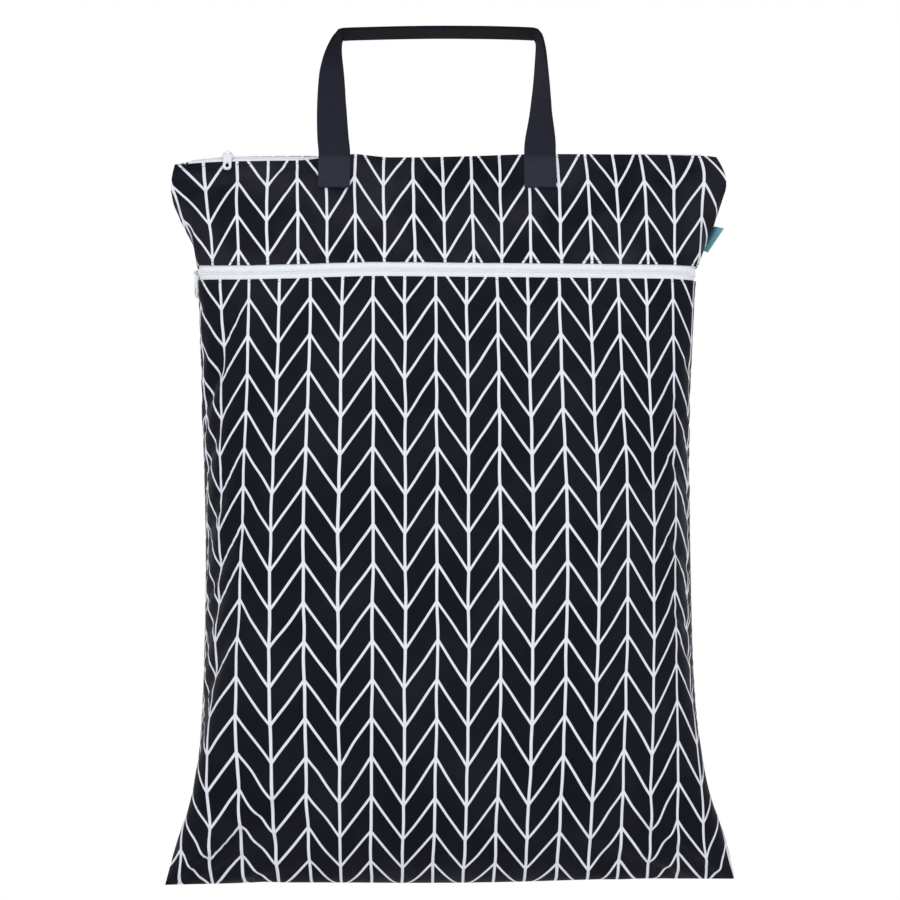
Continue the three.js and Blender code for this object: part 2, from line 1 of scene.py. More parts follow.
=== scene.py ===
# %% [markdown]
# # A filled wet bag of printed cloth
# The bag is a plain flat envelope, cut from thin coated polyester and stuffed until it stands out
# like a pillow. It hangs from its handle and is seen straight on. This lesson takes the packed
# CAD part as its frame, lets the flat cut swell against the frame's seams, prints the cloth in
# its own flat coordinates, and then sews on zips, webbing and tag, which all follow the cloth.

import math

import bpy
import numpy as np
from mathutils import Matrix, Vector
from mathutils.bvhtree import BVHTree


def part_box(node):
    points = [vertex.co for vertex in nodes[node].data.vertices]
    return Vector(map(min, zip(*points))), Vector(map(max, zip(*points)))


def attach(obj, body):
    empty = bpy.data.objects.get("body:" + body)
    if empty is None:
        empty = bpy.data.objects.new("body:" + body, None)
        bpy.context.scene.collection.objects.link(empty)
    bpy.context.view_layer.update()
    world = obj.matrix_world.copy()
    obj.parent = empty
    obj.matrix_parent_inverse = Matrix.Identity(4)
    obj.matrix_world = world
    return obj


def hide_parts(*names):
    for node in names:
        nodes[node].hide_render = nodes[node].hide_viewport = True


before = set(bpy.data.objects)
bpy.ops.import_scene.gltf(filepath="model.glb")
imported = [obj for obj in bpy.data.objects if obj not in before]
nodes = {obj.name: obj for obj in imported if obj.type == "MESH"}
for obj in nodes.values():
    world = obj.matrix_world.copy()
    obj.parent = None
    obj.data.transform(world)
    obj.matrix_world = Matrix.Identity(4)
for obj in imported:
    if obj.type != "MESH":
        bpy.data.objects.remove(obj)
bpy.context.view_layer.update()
mm = 0.001

# %% [markdown]
# # Camera
# The photograph is square and shows the bag straight on with hardly any perspective, as a long
# lens does from a few metres away. One pixel of it is 0.79 mm of the bag at its seams, so the
# field of view follows from that scale and the distance.

# %% Camera
PHOTO = 900
PIXEL = 0.79 * mm
DISTANCE = 4.0
AIM = Vector((9.5 * mm, 0, -324.7 * mm))

camera = bpy.data.objects.new("camera", bpy.data.cameras.new("camera"))
bpy.context.collection.objects.link(camera)
bpy.context.scene.camera = camera
camera.location = AIM - Vector((0, DISTANCE, 0))
camera.rotation_euler = (math.pi / 2, 0, 0)
camera.data.sensor_width = 36
camera.data.lens = 36 * DISTANCE / (PHOTO * PIXEL)
print("lens", round(camera.data.lens, 1), "mm")

# %% [markdown]
# # The flat cut
# A stuffed envelope keeps the length of its cloth: across and down it is as wide and long as it
# was cut, and what the swelling takes up pulls the seams inwards and makes the gathers beside
# them. So the cloth is kept here as two grids of points, front and back, whose columns and rows
# are even steps on the flat cut. Everything that is printed or sewn on it is placed by those
# flat coordinates, in the way that a real maker marks the cloth before sewing.

# %% The flat cut
CUT_WIDTH = 450 * mm
CUT_LENGTH = 603 * mm
EASED_SIDES = 0.962  # the side seams are sewn a little shorter than the cloth beside them
EASED_TOP = 0.97  # and so is the top edge, to the length of its zip
TOP_HEIGHT = -95 * mm
COLUMNS = 66
ROWS = 90
across = np.linspace(-1, 1, COLUMNS + 1)
down = np.linspace(0, 1, ROWS + 1)
side_ease = 1 - (1 - EASED_SIDES) * across[None, :] ** 2
top_ease = 1 - (1 - EASED_TOP) * (1 - down[:, None]) ** 4
flat_x = AIM.x + across[None, :] * top_ease * CUT_WIDTH / 2
flat_z = TOP_HEIGHT - down[:, None] * side_ease * CUT_LENGTH
print("cut", CUT_WIDTH, "by", CUT_LENGTH, "m, one step", round(CUT_WIDTH / COLUMNS / mm, 2), "mm")

# %% [markdown]
# # The CAD cloth as the start
# The simulation needs a start near its end. Lines are cast from in front and from behind onto
# the CAD cloth, so that each grid point begins on the solid that it will stand for. The seams are
# read from the rim of the back panel and the two top edges are found by halving: a line that
# meets the cloth moves up, one that misses it moves down.


# %% The CAD cloth as the start
def cloth_tree(*names):
    """The faces of some CAD nodes, ready for casting lines at them."""
    points, faces = [], []
    for name in names:
        mesh = nodes[name].data
        start = len(points)
        points += [vertex.co.copy() for vertex in mesh.vertices]
        faces += [[start + k for k in polygon.vertices] for polygon in mesh.polygons]
    return BVHTree.FromPolygons(points, faces)


def touch(tree, x, z, face):
    """The depth at which a line from in front (-1) or behind (1) first meets the cloth."""
    place = tree.ray_cast(Vector((x, face, z)), Vector((0, -face, 0)))[0]
    return None if place is None else place.y


def top_height(tree, x, face):
    """The height of a top edge over a place across the bag."""
    low, high = -0.112, -0.085
    for _ in range(12):
        middle = (low + high) / 2
        low, high = (low, middle) if touch(tree, x, middle, face) is None else (middle, high)
    return low


def by_length(points, steps):
    """Where even steps along a line of points fall, as shares of the line's first coordinate."""
    lengths = np.concatenate([[0], np.cumsum(np.linalg.norm(np.diff(points, axis=0), axis=1))])
    return np.interp(steps * lengths[-1], lengths, points[:, 0])


SEAM_RIM = 1.35 * mm
back_points = np.array([vertex.co for vertex in nodes["back_panel"].data.vertices])
rim = back_points[np.abs(back_points[:, 1] - SEAM_RIM) < 0.03 * mm]
rim = np.unique(np.round(rim[:, [0, 2]], 5), axis=0)
BOTTOM_LEVEL = -659.5 * mm  # every rim point lower than this is on the bottom seam
bottom_seam = rim[rim[:, 1] < BOTTOM_LEVEL]
bottom_seam = bottom_seam[np.argsort(bottom_seam[:, 0])]
upper_rim = rim[rim[:, 1] >= BOTTOM_LEVEL]
side_seams = []
for side, corner in ((-1, bottom_seam[0]), (1, bottom_seam[-1])):
    seam = np.vstack([upper_rim[np.sign(upper_rim[:, 0]) == side], corner])
    side_seams.append(seam[np.argsort(seam[:, 1])])
print("seam points", len(bottom_seam), [len(seam) for seam in side_seams])


def start_grid(face):
    """The cloth's grid laid on the CAD's front (-1) or back (1)."""
    names = ("upper_panel", "pocket_panel", "pocket_zip_tape") if face < 0 else ("back_panel",)
    tree, edge_tree = cloth_tree(*names), cloth_tree(names[0])
    left, right = side_seams
    middle = (left[:, 0].mean() + right[:, 0].mean()) / 2
    corner_heights = [seam[-1, 1] for seam in side_seams]
    top_x = np.linspace(left[-1, 0], right[-1, 0], COLUMNS + 1)
    top_z = np.array([top_height(edge_tree, x, face) for x in top_x[1:-1]])
    top_z = np.concatenate([[corner_heights[0]], top_z, [corner_heights[1]]])
    seam_x = np.linspace(bottom_seam[0, 0], bottom_seam[-1, 0], COLUMNS + 1)
    seam_z = np.interp(seam_x, bottom_seam[:, 0], bottom_seam[:, 1])
    heights = np.linspace(top_z[COLUMNS // 2] - 0.001, seam_z[COLUMNS // 2] + 0.001, 200)
    profile = np.array([[z, touch(tree, middle, z, face) or 0] for z in heights])
    middle_rows = by_length(profile, down)
    middle_rows = (middle_rows - middle_rows[0]) / (middle_rows[-1] - middle_rows[0])
    widths = np.linspace(-0.188, 0.203, 200)
    section = np.array([[x, touch(tree, x, -0.4, face) or 0] for x in widths])
    middle_columns = by_length(section, (across + 1) / 2)
    middle_columns = (middle_columns - middle_columns[0]) / np.ptp(middle_columns)
    grid = np.zeros((ROWS + 1, COLUMNS + 1, 3))
    for r in range(ROWS + 1):
        for c in range(COLUMNS + 1):
            share = np.interp(across[c] ** 2, [0, 1], [middle_rows[r], down[r]])
            z = top_z[c] + (seam_z[c] - top_z[c]) * share
            swell = math.sin(math.pi * share) ** 0.6 if 0 < share < 1 else 0
            even = (across[c] + 1) / 2
            place = even + (middle_columns[c] - even) * swell
            x0 = np.interp(z, left[:, 1], left[:, 0])
            x1 = np.interp(z, right[:, 1], right[:, 0])
            if r in (0, ROWS):
                x0, x1 = (top_x if r == 0 else seam_x)[[0, -1]]
            x = x0 + (x1 - x0) * place
            rim_here = c in (0, COLUMNS) or r == ROWS
            y = None if rim_here else touch(tree, x, z - (0.0003 if r == 0 else 0), face)
            grid[r, c] = (x, face * SEAM_RIM if y is None else y, z)
    return grid


front, back = start_grid(-1), start_grid(1)
print("start depths", round(-front[..., 1].min() / mm, 1), round(back[..., 1].max() / mm, 1), "mm")

# %% [markdown]
# # The swelling
# Blender's cloth is the natural tool. The mesh starts as the flat cut, so that its rest lengths
# are the real ones, and a shape key carries the pinned seams to their places on the CAD while a
# pressure stands for what the bag is filled with. The rows at the front zip are stiffer, as the
# tape makes them. The result is read as points, and the helper mesh goes.

# %% The swelling
FRAMES = 45
SEWN_BY = 20  # the frame at which the seams have reached their places
PRESSURE = 100
ZIP_ROWS = (13, 16)  # the rows that the stiff zip tape takes


def simulate(name, start):
    """One face of the bag, swollen from its flat cut by pressure between its pinned edges."""
    mesh = bpy.data.meshes.new(name)
    stride = COLUMNS + 1
    faces = [
        (r * stride + c, (r + 1) * stride + c, (r + 1) * stride + c + 1, r * stride + c + 1)
        for r in range(ROWS)
        for c in range(COLUMNS)
    ]
    if start[..., 1].mean() > 0:
        faces = [tuple(reversed(face)) for face in faces]
    flat = np.stack([flat_x, np.zeros_like(flat_x), flat_z], axis=-1)
    mesh.from_pydata(flat.reshape(-1, 3).tolist(), [], faces)
    cloth = bpy.data.objects.new(name, mesh)
    bpy.context.collection.objects.link(cloth)
    cloth.shape_key_add(name="flat cut")
    sewn = cloth.shape_key_add(name="sewn")
    sewn.data.foreach_set("co", start.astype(np.float32).ravel())
    for moment, value in ((1, 0), (SEWN_BY, 1)):
        sewn.value = value
        sewn.keyframe_insert("value", frame=moment)
    held = np.zeros((ROWS + 1, COLUMNS + 1), bool)
    held[[0, -1], :] = True
    held[:, [0, -1]] = True
    group = cloth.vertex_groups.new(name="held")
    group.add([int(k) for k in np.flatnonzero(held)], 1.0, "REPLACE")
    modifier = cloth.modifiers.new("cloth", "CLOTH")
    settings = modifier.settings
    if start[..., 1].mean() < 0:
        stiff = cloth.vertex_groups.new(name="zip")
        stiff.add([r * stride + c for r in range(*ZIP_ROWS) for c in range(stride)], 1.0, "REPLACE")
        settings.vertex_group_bending = "zip"
        settings.bending_stiffness_max = 300
    settings.vertex_group_mass = "held"
    settings.quality = 6
    settings.mass = 0.15
    settings.air_damping = 2
    settings.tension_stiffness = settings.compression_stiffness = 40
    settings.shear_stiffness = 10
    settings.bending_stiffness = 5
    settings.tension_damping = settings.compression_damping = settings.shear_damping = 5
    settings.use_pressure = True
    settings.uniform_pressure_force = PRESSURE
    settings.effector_weights.gravity = 0
    modifier.point_cache.frame_start, modifier.point_cache.frame_end = 1, FRAMES
    for k in range(1, FRAMES + 1):
        bpy.context.scene.frame_set(k)
    evaluated = cloth.evaluated_get(bpy.context.evaluated_depsgraph_get())
    points = np.zeros(len(mesh.vertices) * 3, np.float32)
    evaluated.to_mesh().vertices.foreach_get("co", points)
    evaluated.to_mesh_clear()
    bpy.data.objects.remove(cloth)
    bpy.context.scene.frame_set(1)
    return points.reshape(start.shape).astype(float)


def packed(grid, depth):
    """The same cloth over a filling packed flatter than a balloon, kept inside the seams."""
    share = np.abs(grid[..., 1]) / np.abs(grid[..., 1]).max()
    grid[..., 1] = np.sign(grid[..., 1]) * depth * (1 - (1 - share) ** FLATNESS)
    for side, seam in zip((-1, 1), side_seams):
        beyond = side * (grid[..., 0] - np.interp(grid[..., 2], seam[:, 1], seam[:, 0]))
        grid[..., 0] -= side * DRAWN_IN * np.maximum(beyond, 0)
    return grid


FRONT_DEPTH = 74 * mm
BACK_DEPTH = 68 * mm
FLATNESS = 1.5  # more than 1 makes the middle flatter and the sides steeper
DRAWN_IN = 0.85  # how much of what swells out past a side seam is drawn back to it
front = packed(simulate("front_cut", front), FRONT_DEPTH)
back = packed(simulate("back_cut", back), BACK_DEPTH)
depths = -front[..., 1].min(), back[..., 1].max()
print("swollen depths", [round(depth / mm, 1) for depth in depths], "mm")

# %% [markdown]
# # Reading the cloth anywhere
# All that follows lies on the cloth: the panels' own fine meshes, the zip tapes, the teeth and
# the stitches. So one function reads a grid smoothly at any flat place, with the same weights
# that a Catmull-Rom curve has, and a second one gives the direction that points out of the bag.


# %% Reading the cloth anywhere
def curve_weights(f):
    """The shares of four neighbours in a smooth curve between the middle two."""
    return [
        (2 * f**2 - f - f**3) / 2,
        (2 - 5 * f**2 + 3 * f**3) / 2,
        (f + 4 * f**2 - 3 * f**3) / 2,
        (f**3 - f**2) / 2,
    ]


def read_cloth(grid, u, v):
    """Points of the cloth at flat places: u from -1 to 1 across, v from 0 to 1 down."""
    u, v = np.broadcast_arrays(u, v)
    padded = np.pad(grid, ((1, 1), (1, 1), (0, 0)), mode="reflect", reflect_type="odd")
    rows, columns = grid.shape[0] - 1, grid.shape[1] - 1
    c = np.clip((u + 1) / 2, 0, 1) * columns
    r = np.clip(v, 0, 1) * rows
    c0 = np.minimum(c.astype(int), columns - 1)
    r0 = np.minimum(r.astype(int), rows - 1)
    total = 0
    for i, down_share in enumerate(curve_weights(r - r0)):
        for j, across_share in enumerate(curve_weights(c - c0)):
            total = total + (down_share * across_share)[..., None] * padded[r0 + i, c0 + j]
    return total


def outward(grid, u, v):
    """The direction out of the bag at those places."""
    step = 0.006
    along = read_cloth(grid, u + step, v) - read_cloth(grid, u - step, v)
    fall = read_cloth(grid, u, v + step) - read_cloth(grid, u, v - step)
    out = np.cross(fall, along) * (1 if grid is front else -1)
    return out / np.maximum(np.linalg.norm(out, axis=-1, keepdims=True), 1e-12)


# %% [markdown]
# # Closed sheets
# Every sheet here is a closed solid of its real thickness: an outer grid, an inner grid and the
# four rims between them. Where a panel ends in a seam its inner side meets the rim of the seam,
# so that front and back don't run into each other. The flat coordinates go along as the map
# that the print and the weave are read from, in metres.


# %% Closed sheets
def closed_sheet(name, outer, inner, flat):
    """A closed mesh between two grids, with its flat coordinates as a map called cut."""
    rows, columns = outer.shape[:2]
    index = np.arange(rows * columns).reshape(rows, columns)
    far = index + rows * columns
    quads = [np.stack([index[:-1, :-1], index[1:, :-1], index[1:, 1:], index[:-1, 1:]], -1)]
    quads.append(np.stack([far[:-1, :-1], far[:-1, 1:], far[1:, 1:], far[1:, :-1]], -1))
    quads.append(np.stack([index[0, :-1], index[0, 1:], far[0, 1:], far[0, :-1]], -1))
    quads.append(np.stack([index[-1, 1:], index[-1, :-1], far[-1, :-1], far[-1, 1:]], -1))
    quads.append(np.stack([index[1:, 0], index[:-1, 0], far[:-1, 0], far[1:, 0]], -1))
    quads.append(np.stack([index[:-1, -1], index[1:, -1], far[1:, -1], far[:-1, -1]], -1))
    faces = np.concatenate([quad.reshape(-1, 4) for quad in quads])
    points = np.concatenate([outer.reshape(-1, 3), inner.reshape(-1, 3)])
    a, b, c = (points[faces[:, k]] for k in (0, 1, 2))
    if np.einsum("ij,ij->i", a, np.cross(b, c)).sum() < 0:
        faces = faces[:, ::-1]
    mesh = bpy.data.meshes.new(name)
    mesh.from_pydata(points.tolist(), [], faces.tolist())
    place = np.concatenate([flat.reshape(-1, 2)] * 2)[faces.ravel()]
    mesh.uv_layers.new(name="cut").data.foreach_set("uv", place.astype(np.float32).ravel())
    mesh.shade_smooth()
    mesh.set_sharp_from_angle(angle=math.radians(50))
    sheet = bpy.data.objects.new(name, mesh)
    bpy.context.collection.objects.link(sheet)
    return sheet


def cloth_places(top, bottom, rows, columns=2 * COLUMNS):
    """Flat places between two lines across the cloth."""
    u = np.linspace(-1, 1, columns + 1)[None, :]
    share = np.linspace(0, 1, rows + 1)[:, None]
    return np.broadcast_to(u, (rows + 1, columns + 1)), top(u) + (bottom(u) - top(u)) * share


CLOTH = 1.2 * mm
SEAM_GAP = 0.15 * mm


def panel(name, grid, top, bottom, rows, drift=None):
    """A cloth panel between two lines across it. A drift is two tables, sideways and down."""
    u, v = cloth_places(top, bottom, rows)
    outer = read_cloth(grid, u, v)
    inner = outer - outward(grid, u, v) * CLOTH
    face = -1 if grid is front else 1
    seam = (np.abs(u) > 0.9999) | (v > 0.9999)
    inner[seam] = outer[seam]
    inner[..., 1] = face * np.maximum(face * inner[..., 1], SEAM_GAP)
    inner[seam, 1] = face * SEAM_GAP
    flat = np.stack([u * CUT_WIDTH / 2, v * CUT_LENGTH], -1)
    if drift:
        moved = [read_cloth(table[..., None], u, v) for table in drift]
        flat = flat - np.concatenate(moved, -1) * mm
    piece = closed_sheet(name, outer, inner, flat)
    print(name, len(piece.data.polygons), "faces")
    return piece


# %% [markdown]
# # The panels
# The front is cut in two where the zip is sewn in, and the zip's line is known by its height on
# the finished bag. For each column of the cloth the flat place of that height is looked up, half
# the opening above it and half below. The back is one panel from the top edge to the seam.
# Printed cloth never stays true to its cut: sewing and stuffing pull it a little out of line. So
# each front panel has two small tables, which say how far its print has moved sideways and down.
# They are read with the same smooth function as the cloth itself.

# %% The panels
ZIP_LINE = np.array([  # across the flat cut, height in mm
    (-1, -185.4), (-0.72, -185.9), (-0.53, -185.1), (-0.42, -184.1), (-0.28, -183.2),
    (-0.1, -183.6), (0.1, -184.0), (0.8, -185.2), (1, -188.0),
])  # fmt: skip
ZIP_OPENING = 11.4 * mm
SIDEWAYS = np.array([  # mm, from the left seam to the right, in five rows from the top down
    (-3.0, -3.5, -3.2, -1.5, -1.1, -1.2, -1.2, -6.5, -19.0),
    (-3.0, -3.5, -3.2, -1.5, -1.1, -1.2, -1.2, -6.0, -16.0),
    (-11.5, -10.8, -7.8, -2.2, -1.2, -0.3, 3.5, -0.6, -1.0),
    (-19.0, -14.6, -7.0, -3.3, -2.2, -1.8, -0.6, -4.5, -16.0),
    (-11.0, -7.0, -3.0, -4.8, -6.3, -8.0, -7.5, -8.5, -11.0),
])  # fmt: skip
DOWNWARDS = np.array([  # mm, in nine rows
    (3.0, 4.5, 5.0, 2.5, 5.0, 5.0, 5.5, 7.0, 7.0),
    (3.0, 4.5, 5.0, 2.5, 5.0, 5.0, 5.5, 7.0, 7.0),
    (3.0, 3.5, 1.9, 1.2, 2.0, 2.8, 4.0, 5.8, 6.0),
    (3.0, 2.6, 0.9, 0.9, 1.0, 1.6, 2.6, 4.0, 4.0),
    (3.0, 2.6, 0.9, 0.3, 0.1, 0.9, 1.5, 2.0, 2.0),
    (3.0, 3.0, 2.5, 0.4, -0.4, 0.0, 1.9, 1.5, 1.5),
    (5.0, 5.0, 3.2, 0.8, 0.5, 0.8, 1.9, 0.0, 1.0),
    (6.0, 5.5, 5.3, 3.8, 4.8, 5.5, 7.5, 7.0, 7.0),
    (6.0, 5.0, 0.5, -3.5, -3.0, 0.0, 8.5, 8.0, 7.0),
])  # fmt: skip
UPPER_SIDEWAYS = np.array(  # mm, in rows a sixth of the cut apart: the zip is near the second
    [(-12.5, -3.0, -1.4, -1.2, -1.1, -1.6, -2.4, -4.4, -2.6)]
    + [(14.0, 3.2, 3.9, 0.2, 0.7, -3.2, -2.4, -5.9, -12.9)] * 6
)
UPPER_DOWN = np.array([(-1.0, -1.0, 1.5, 3.5, 3.5)] * 2)


def zip_place(u, offset=0.0):
    """How far down the flat front the zip's line lies, offset metres of height below it."""
    u = np.asarray(u, float)
    levels = np.linspace(0.02, 0.4, 120)
    heights = read_cloth(front, u.ravel()[:, None], levels[None, :])[..., 2]
    wanted = np.interp(u.ravel(), ZIP_LINE[:, 0], ZIP_LINE[:, 1] * mm) - offset
    found = [np.interp(-z, -row, levels) for z, row in zip(wanted, heights)]
    return np.array(found).reshape(u.shape)


def across_top(u):
    return np.zeros_like(u)


def above_zip(u):
    return zip_place(u, -ZIP_OPENING / 2)


def below_zip(u):
    return zip_place(u, ZIP_OPENING / 2)


def across_bottom(u):
    return np.ones_like(u)


upper = panel("upper_cloth", front, across_top, above_zip, 36, (UPPER_SIDEWAYS, UPPER_DOWN))
pocket = panel("pocket_cloth", front, below_zip, across_bottom, 150, (SIDEWAYS, DOWNWARDS))
rear = panel("back_cloth", back, across_top, across_bottom, 180)

# %% [markdown]
# # A shader language
# A print made of lines is arithmetic on the flat coordinates, and arithmetic reads best as
# arithmetic. A small class wraps a shader socket, so that plus, minus and times make Math nodes.
# A second one stands for a finish: it makes any other node, type and settings first, and feeds
# its sockets with values or links.


# %% A shader language
class Socket:
    """One output of a shader node, with plain arithmetic."""

    def __init__(self, finish, output):
        self.finish, self.output = finish, output

    def math(self, operation, *others):
        values = dict(enumerate([self, *others]))
        return self.finish.node("ShaderNodeMath", {"operation": operation}, values)

    def __add__(self, other):
        return self.math("ADD", other)

    def __sub__(self, other):
        return self.math("SUBTRACT", other)

    def __mul__(self, other):
        return self.math("MULTIPLY", other)

    def __truediv__(self, other):
        return self.math("DIVIDE", other)

    def __rsub__(self, other):
        return (self * -1.0) + other

    __radd__, __rmul__ = __add__, __mul__

    def clamped(self):
        return self.math("MAXIMUM", 0.0).math("MINIMUM", 1.0)


class Finish:
    """A material under its name, with its nodes made in one way."""

    def __init__(self, name, roughness, specular):
        self.material = bpy.data.materials.new(name)
        self.material.use_nodes = True
        self.tree = self.material.node_tree
        self.surface = self.tree.nodes["Principled BSDF"]
        self.surface.inputs["Roughness"].default_value = roughness
        self.surface.inputs["Specular IOR Level"].default_value = specular

    def node(self, kind, settings, values, output=0):
        node = self.tree.nodes.new(kind)
        for key, value in settings.items():
            setattr(node, key, value)
        for key, value in values.items():
            self.feed(node.inputs[key], value)
        return Socket(self, node.outputs[output])

    def feed(self, socket, value):
        if isinstance(value, Socket):
            self.tree.links.new(value.output, socket)
        else:
            socket.default_value = value

    def colour(self, value):
        self.feed(self.surface.inputs["Base Color"], value)

    def blend(self, share, first, second):
        settings = {"data_type": "RGBA"}
        return self.node("ShaderNodeMix", settings, {0: share, 6: first, 7: second}, output=2)

    def flat_place(self):
        """The flat coordinates of the cloth, in metres."""
        place = self.node("ShaderNodeUVMap", {"uv_map": "cut"}, {})
        parts = self.tree.nodes.new("ShaderNodeSeparateXYZ")
        self.feed(parts.inputs[0], place)
        return place, Socket(self, parts.outputs[0]), Socket(self, parts.outputs[1])

    def shifted(self, place, shift):
        values = {0: place, 1: (shift, shift, 0)}
        return self.node("ShaderNodeVectorMath", {"operation": "ADD"}, values)

    def noise(self, place, scale, detail=2.0):
        values = {"Vector": place, "Scale": scale, "Detail": detail}
        return self.node("ShaderNodeTexNoise", {}, values)

    def bump(self, height, depth, strength=1.0):
        values = {"Height": height, "Distance": depth, "Strength": strength}
        self.feed(self.surface.inputs["Normal"], self.node("ShaderNodeBump", {}, values))


# %% [markdown]
# # The printed cloth
# The print is white lines on black: an upright line on every column, and between the columns
# slanting arms that meet in points, up on one column and down on the next. A triangle wave of
# the column number gives the arms, and the distance to the nearest line, upright or slanting,
# gives the ink with a soft edge. The two distances are joined smoothly, which fills the corners a
# little, as ink does. Each panel was cut from another place of the cloth, so it has its own
# offsets. A slow noise shifts the place by a millimetre or two before the lines are drawn, since
# a knit never lies quite true. Another one paints a sheen into parts of the black: lighter
# patches of painted highlight, where the cloth would catch more light. The cloth is a fine knit
# with a dull film on it: little gloss and a very shallow bump.

# %% The printed cloth
COLUMN_PITCH = 24.4 * mm
ROW_PITCH = 30.0 * mm
ARM_DROP = 37.2 * mm
UPRIGHT_HALF = 1.1 * mm
ARM_HALF = 0.93 * mm
INK = (0.80, 0.82, 0.90, 1)
GROUND = (0.0032, 0.0033, 0.0080, 1)
# painted sheen: SHEEN is a lighter black that a slow noise blends into the ground as painted
# highlight
SHEEN = (0.0095, 0.0098, 0.0160, 1)
UPPER_SHEEN = (0.022, 0.021, 0.029, 1)  # painted sheen: the upper panel leans back and catches more light, so its black is painted lighter
WOBBLE = 2.7 * mm


def printed_cloth(name, column, row, pitch=COLUMN_PITCH, sheen=SHEEN):
    """The print with a column's upward point at the flat place (column, row)."""
    finish = Finish(name, 0.6, 0.11)
    place, u, v = finish.flat_place()
    pulls = [finish.noise(finish.shifted(place, shift), 22.0, 1.0) - 0.5 for shift in (0.0, 3.0)]
    u, v = u + pulls[0] * WOBBLE, v + pulls[1] * WOBBLE
    count = (u - column) / pitch
    upright = (count - count.math("ROUND")).math("ABSOLUTE") * pitch
    wave = count.math("PINGPONG", 1.0)
    level = (v - row - wave * ARM_DROP) / ROW_PITCH
    slant = math.cos(math.atan2(ARM_DROP, pitch))
    arm = (level - level.math("ROUND")).math("ABSOLUTE") * (ROW_PITCH * slant)
    nearest = (upright - (UPRIGHT_HALF - ARM_HALF)).math("SMOOTH_MIN", arm, 0.7 * mm)
    ink = ((ARM_HALF - nearest) / (0.25 * mm) + 0.5).clamped()
    # painted sheen: lighter patches of painted highlight on the black ground
    painted_sheen = ((finish.noise(place, 16.0, 3.0) - 0.42) * 3.0).clamped()
    finish.colour(finish.blend(ink, finish.blend(painted_sheen, GROUND, sheen), INK))
    knit = (u * (math.tau / (0.9 * mm))).math("SINE") * (v * (math.tau / (1.1 * mm))).math("SINE")
    crumple = finish.noise(place, 38.0)
    finish.bump(crumple * 40.0 + knit * 0.5, 0.04 * mm)
    return finish.material


POCKET_PRINT = (-8.0 * mm, 294.8 * mm)
UPPER_PRINT = (22.0 * mm, 18.6 * mm, 23.9 * mm, UPPER_SHEEN)
BACK_PRINT = (3.0 * mm, 12.0 * mm)
for piece, place in ((pocket, POCKET_PRINT), (upper, UPPER_PRINT), (rear, BACK_PRINT)):
    piece.data.materials.append(printed_cloth(f"print_{piece.name}", *place))
print("columns across the cut", round(CUT_WIDTH / COLUMN_PITCH, 1))

# %% [markdown]
# # Zip tapes
# A zip tape is a woven ribbon that the cloth is sewn onto, so it lies just behind the two cloth
# edges and shows between them. The front tape is read from the same cloth grid, moved inwards by
# the cloth's thickness. The top tape closes the mouth: it is drawn between the two top edges with
# a slight crown. Both are white with a fine rib.

# %% Zip tapes
TAPE = 0.8 * mm
TAPE_LAP = 5 * mm
BEHIND = CLOTH + 0.3 * mm


def front_strip(name, low, high, depth, thickness, rows=8, reach=0.99):
    """A strip along the front zip, from low to high above its line and depth behind the face."""
    u = np.linspace(-reach, reach, 2 * COLUMNS + 1)[None, :]
    offsets = np.linspace(-high, -low, rows + 1)
    v = np.concatenate([zip_place(u, offset) for offset in offsets])
    u = np.broadcast_to(u, v.shape)
    out = outward(front, u, v)
    face = read_cloth(front, u, v)
    flat = np.stack([u * CUT_WIDTH / 2, v * CUT_LENGTH], -1)
    return closed_sheet(name, face - out * depth, face - out * (depth + thickness), flat)


def mouth(u, share, lift):
    """A place on the top zip: share from -1 at the front edge to 1 at the back edge."""
    edges = []
    for grid in (front, back):
        edges.append(read_cloth(grid, u, 0.0 * u) - outward(grid, u, 0.0 * u) * BEHIND)
    place = edges[0] + (edges[1] - edges[0]) * ((1 + share) / 2)[..., None]
    place[..., 2] += 0.5 * mm * (1 - share**2) + lift
    return place


def white_weave(name):
    """White ribbon with ribs across the zip."""
    finish = Finish(name, 0.8, 0.25)
    place, u, v = finish.flat_place()
    rib = (u * (math.tau / (0.8 * mm))).math("SINE")
    tone = finish.noise(place, 900.0)
    finish.colour(finish.blend(tone, (0.90, 0.94, 0.98, 1), (0.98, 0.99, 1.0, 1)))
    finish.bump(rib, 0.08 * mm)
    return finish.material


tape_white = white_weave("zip_tape_white")
half_band = ZIP_OPENING / 2 + TAPE_LAP
pocket_tape = front_strip("pocket_tape", -half_band, half_band, BEHIND, TAPE)
u, share = np.meshgrid(np.linspace(-0.95, 0.95, 2 * COLUMNS + 1), np.linspace(-1, 1, 9))
flat = np.stack([u * CUT_WIDTH / 2, share * 7 * mm], -1)
top_tape = closed_sheet("top_tape", mouth(u, share, 0.0), mouth(u, share, -TAPE), flat)
for piece in (pocket_tape, top_tape):
    piece.data.materials.append(tape_white)
print("tapes", len(pocket_tape.data.polygons), len(top_tape.data.polygons))

# %% [markdown]
# # Beads along lines
# Zip teeth and stitches are the same thing to a maker of geometry: one small rounded bead that is
# repeated at an even pitch along a line. Geometry Nodes do that: the line is sampled by length, a
# bead is turned so that it lies along the line and faces out of the cloth, and a seeded wobble
# keeps the row from looking like a ruler. The outward direction travels with the line as an
# attribute. The result becomes one plain mesh.


